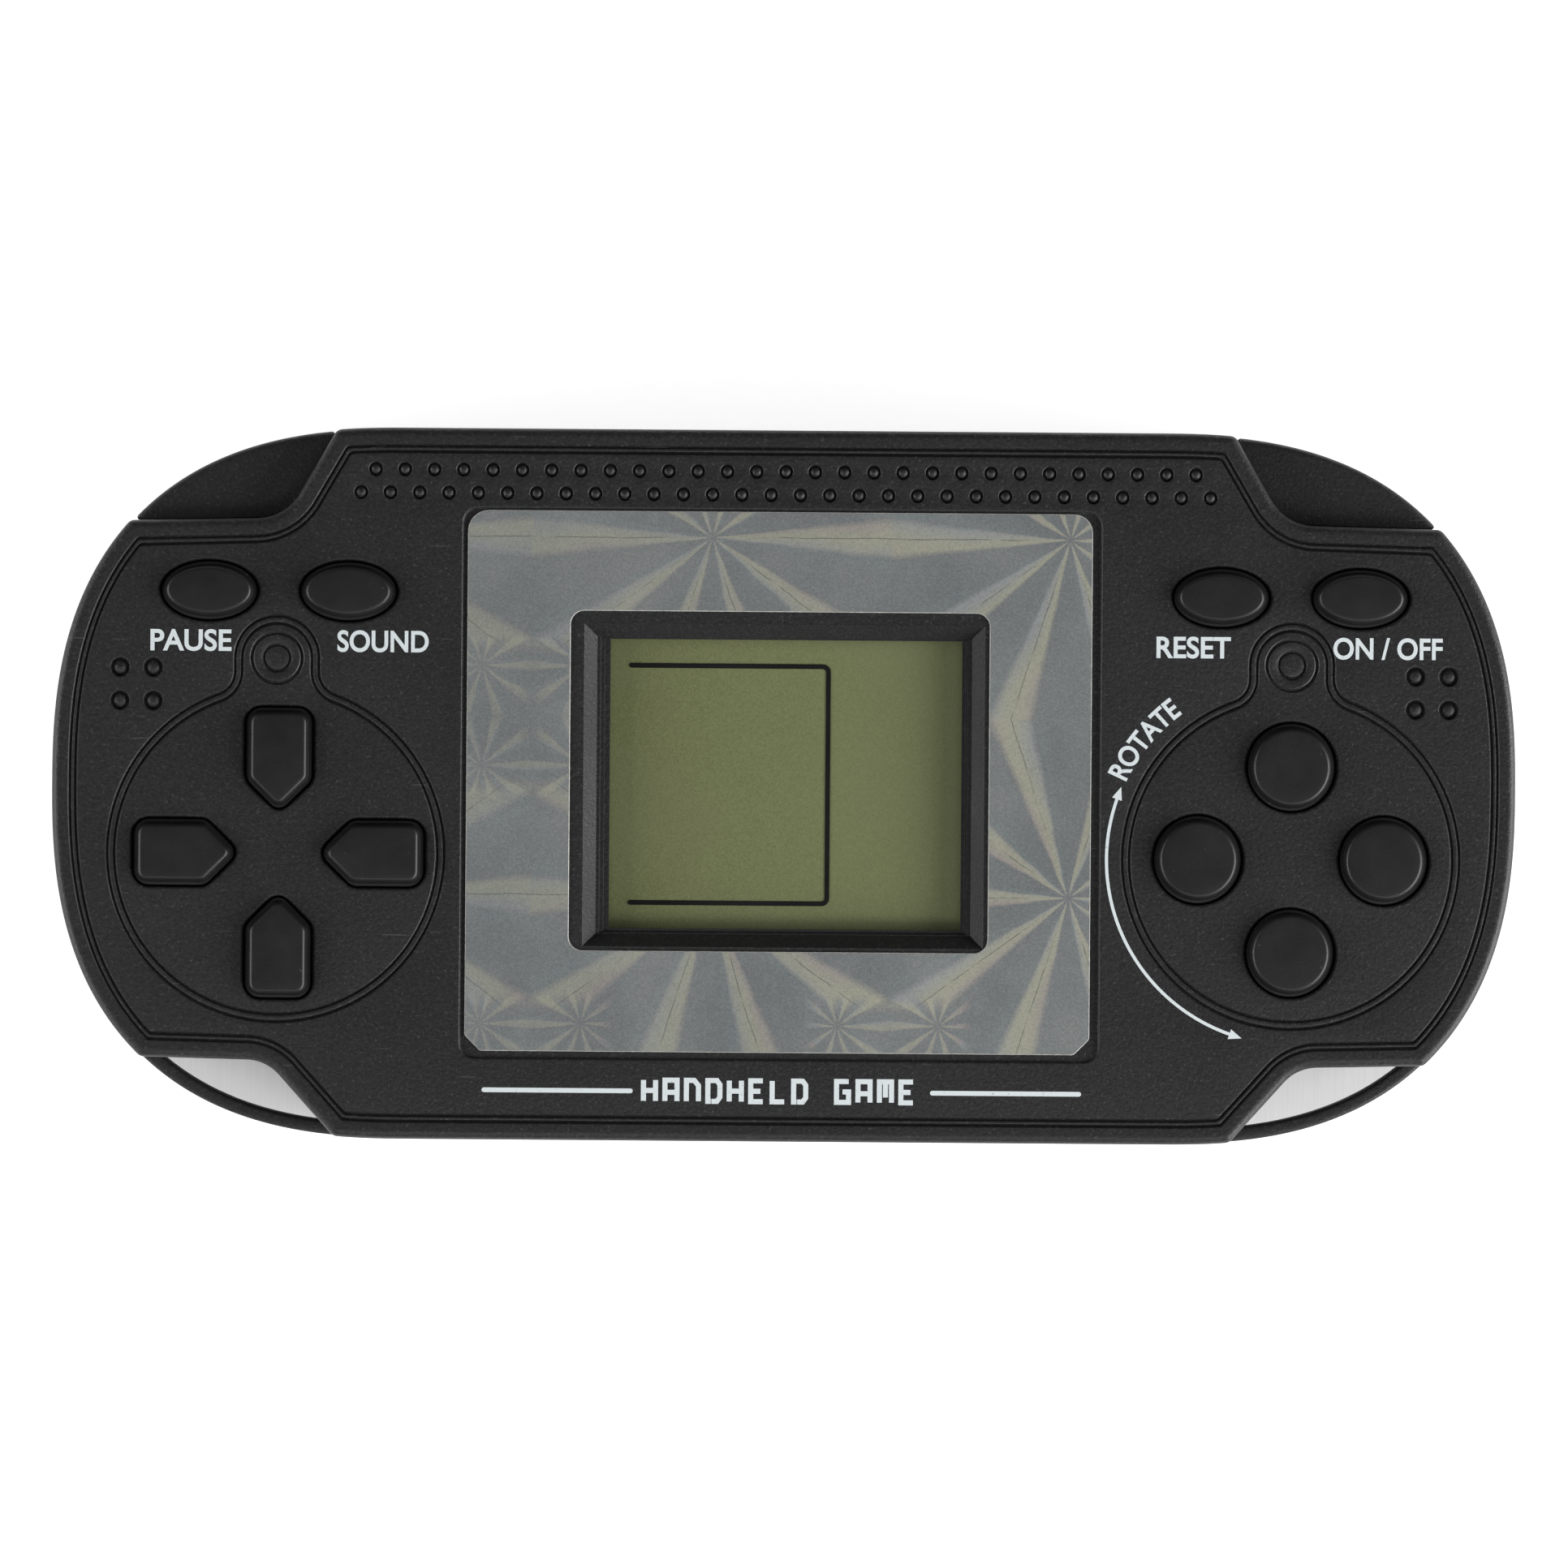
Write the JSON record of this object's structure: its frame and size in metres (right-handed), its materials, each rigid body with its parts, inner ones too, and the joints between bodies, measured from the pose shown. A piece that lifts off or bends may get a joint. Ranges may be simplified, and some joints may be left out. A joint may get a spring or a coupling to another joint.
{
  "type": "handheld lcd game",
  "caption": "Handheld LCD block-puzzle game: two-shell black case with strap loops, framed LCD, arrow pad, round action keys, oval function keys and a battery door.",
  "frame": {"origin": "middle of the bounding box in plan, at the flat back that the toy lies on", "axes": "+X along the length to the player's right, +Y towards the upper edge with the shoulders, +Z out of the face with the keys and the LCD"},
  "size_m": [0.13, 0.0632, 0.0215],
  "materials": {
    "case_black": "spark-textured black ABS",
    "key_black": "semi-gloss black ABS",
    "foil": "holographic foil film",
    "clear": "clear acrylic sheet",
    "lcd": "olive-green reflective LCD",
    "silver_film": "silver reflector film",
    "carbon_rubber": "black and clear layered rubber",
    "silicone": "grey silicone",
    "board": "brown paper-phenolic board with green mask",
    "epoxy": "black epoxy",
    "brass": "brass disc with ceramic",
    "sleeve": "shrink sleeve",
    "resonator": "dipped coating",
    "cell": "printed jacket on a dry cell",
    "contact": "nickel-plated spring steel",
    "screw": "zinc-plated steel",
    "red_wire": "PVC insulation",
    "black_wire": "PVC insulation",
    "white_print": "white pad-printed ink",
    "lcd_ink": "black ink printed on the LCD"
  },
  "bodies": {
    "case": {"front_shell": "case_black", "rear_shell": "case_black", "foil_sticker": "foil", "lcd_window": "clear", "lcd_panel": "lcd", "lcd_reflector": "silver_film", "lcd_connector_strip": "carbon_rubber", "keymat_left": "silicone", "keymat_right": "silicone", "keymat_upper_left": "silicone", "keymat_upper_right": "silicone", "main_pcb": "board", "chip_blob": "epoxy", "piezo_buzzer": "brass", "power_capacitor": "sleeve", "clock_resonator": "resonator", "battery_upper": "cell", "battery_lower": "cell", "battery_spring_upper": "contact", "battery_spring_lower": "contact", "contact_plate_positive": "contact", "contact_plate_negative": "contact", "contact_plate_bridge": "contact", "case_screw_1": "screw", "case_screw_2": "screw", "case_screw_3": "screw", "case_screw_4": "screw", "case_screw_5": "screw", "case_screw_6": "screw", "pcb_screw_1": "screw", "pcb_screw_2": "screw", "pcb_screw_3": "screw", "pcb_screw_4": "screw", "battery_lead_red": "red_wire", "buzzer_lead_red": "red_wire", "battery_lead_black": "black_wire", "buzzer_lead_black": "black_wire"},
    "arrow_key_right": {"arrow_key_right": "key_black"},
    "arrow_key_up": {"arrow_key_up": "key_black"},
    "arrow_key_left": {"arrow_key_left": "key_black"},
    "arrow_key_down": {"arrow_key_down": "key_black"},
    "round_key_right": {"round_key_right": "key_black"},
    "round_key_up": {"round_key_up": "key_black"},
    "round_key_left": {"round_key_left": "key_black"},
    "round_key_down": {"round_key_down": "key_black"},
    "pause_key": {"pause_key": "key_black"},
    "sound_key": {"sound_key": "key_black"},
    "on_off_key": {"on_off_key": "key_black"},
    "reset_key": {"reset_key": "key_black"},
    "battery_door": {"battery_door": "case_black", "battery_door_screw": "screw"}
  },
  "joints": [
    {"name": "arrow_key_right_press", "type": "slide", "parent": "case", "child": "arrow_key_right", "axis": [0, 0, -1], "range_m": [0, 0.0009], "stiffness_N_per_m": 600, "deforming": ["keymat_left"]},
    {"name": "arrow_key_up_press", "type": "slide", "parent": "case", "child": "arrow_key_up", "axis": [0, 0, -1], "range_m": [0, 0.0009], "stiffness_N_per_m": 600, "deforming": ["keymat_left"]},
    {"name": "arrow_key_left_press", "type": "slide", "parent": "case", "child": "arrow_key_left", "axis": [0, 0, -1], "range_m": [0, 0.0009], "stiffness_N_per_m": 600, "deforming": ["keymat_left"]},
    {"name": "arrow_key_down_press", "type": "slide", "parent": "case", "child": "arrow_key_down", "axis": [0, 0, -1], "range_m": [0, 0.0009], "stiffness_N_per_m": 600, "deforming": ["keymat_left"]},
    {"name": "round_key_right_press", "type": "slide", "parent": "case", "child": "round_key_right", "axis": [0, 0, -1], "range_m": [0, 0.0009], "stiffness_N_per_m": 600, "deforming": ["keymat_right"]},
    {"name": "round_key_up_press", "type": "slide", "parent": "case", "child": "round_key_up", "axis": [0, 0, -1], "range_m": [0, 0.0009], "stiffness_N_per_m": 600, "deforming": ["keymat_right"]},
    {"name": "round_key_left_press", "type": "slide", "parent": "case", "child": "round_key_left", "axis": [0, 0, -1], "range_m": [0, 0.0009], "stiffness_N_per_m": 600, "deforming": ["keymat_right"]},
    {"name": "round_key_down_press", "type": "slide", "parent": "case", "child": "round_key_down", "axis": [0, 0, -1], "range_m": [0, 0.0009], "stiffness_N_per_m": 600, "deforming": ["keymat_right"]},
    {"name": "pause_key_press", "type": "slide", "parent": "case", "child": "pause_key", "axis": [0, 0, -1], "range_m": [0, 0.0009], "stiffness_N_per_m": 600, "deforming": ["keymat_upper_left"]},
    {"name": "sound_key_press", "type": "slide", "parent": "case", "child": "sound_key", "axis": [0, 0, -1], "range_m": [0, 0.0009], "stiffness_N_per_m": 600, "deforming": ["keymat_upper_left"]},
    {"name": "on_off_key_press", "type": "slide", "parent": "case", "child": "on_off_key", "axis": [0, 0, -1], "range_m": [0, 0.0009], "stiffness_N_per_m": 600, "deforming": ["keymat_upper_right"]},
    {"name": "reset_key_press", "type": "slide", "parent": "case", "child": "reset_key", "axis": [0, 0, -1], "range_m": [0, 0.0009], "stiffness_N_per_m": 600, "deforming": ["keymat_upper_right"]},
    {"name": "battery_door_lift_off", "type": "slide", "parent": "case", "child": "battery_door", "axis": [0, 0, -1], "range_m": [0, 0.012]}
  ]
}
